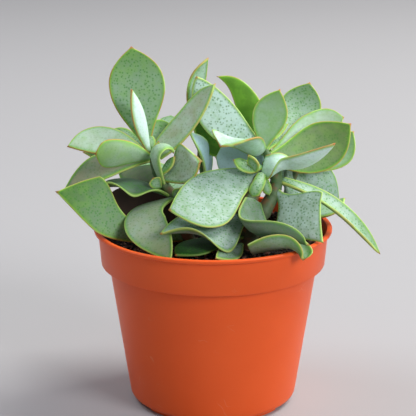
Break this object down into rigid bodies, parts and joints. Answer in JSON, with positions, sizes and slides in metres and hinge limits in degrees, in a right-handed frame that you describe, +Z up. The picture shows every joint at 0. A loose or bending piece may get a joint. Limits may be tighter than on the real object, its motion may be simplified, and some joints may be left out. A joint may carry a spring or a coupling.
{
  "type": "potted succulent plant",
  "caption": "Ripple-leaved jade succulent with broad wavy pointed leaves on short woody shoots, in a round terracotta-coloured plastic nursery pot filled with soil.",
  "frame": {"origin": "centre of the pot's underside, on the surface it stands on", "axes": "+Z up along the pot's axis; the side seen from -Y is the front, with +X to its right"},
  "size_m": [0.1597, 0.12, 0.1796],
  "materials": {
    "pot": "satin moulded polypropylene, terracotta orange",
    "soil": "matte crumbly peat mix with small bark and grit grains",
    "shoots": "matte green-brown succulent bark",
    "leaves": "satin waxy leaf skin, dotted, with a yellow-green and red margin"
  },
  "bodies": {
    "root": {"leaf_back_blue": "leaves", "leaf_back_dark": "leaves", "leaf_back_strip": "leaves", "leaf_back_twist": "leaves", "leaf_far_broad": "leaves", "leaf_far_low": "leaves", "leaf_far_side": "leaves", "leaf_front_drape": "leaves", "leaf_front_flag": "leaves", "leaf_front_fold": "leaves", "leaf_front_large": "leaves", "leaf_front_long": "leaves", "leaf_front_roll": "leaves", "leaf_front_under": "leaves", "leaf_front_wave": "leaves", "leaf_left_behind": "leaves", "leaf_left_curl": "leaves", "leaf_left_droop": "leaves", "leaf_left_dry": "leaves", "leaf_left_front": "leaves", "leaf_left_lance": "leaves", "leaf_left_low": "leaves", "leaf_left_out": "leaves", "leaf_left_round": "leaves", "leaf_left_shade": "leaves", "leaf_left_shell": "leaves", "leaf_left_sliver": "leaves", "leaf_left_spoon": "leaves", "leaf_left_tall": "leaves", "leaf_left_wavy": "leaves", "leaf_rear_1": "leaves", "leaf_rear_2": "leaves", "leaf_rear_3": "leaves", "leaf_rear_4": "leaves", "leaf_rear_5": "leaves", "leaf_rear_6": "leaves", "leaf_rear_7": "leaves", "leaf_rear_8": "leaves", "leaf_right_boat": "leaves", "leaf_right_bright": "leaves", "leaf_right_broad": "leaves", "leaf_right_high": "leaves", "leaf_right_hood": "leaves", "leaf_right_large": "leaves", "leaf_right_rim": "leaves", "leaf_right_young": "leaves", "pot": "pot", "shoot_back": "shoots", "shoot_far": "shoots", "shoot_left": "shoots", "shoot_right": "shoots", "soil": "soil"}
  },
  "joints": []
}
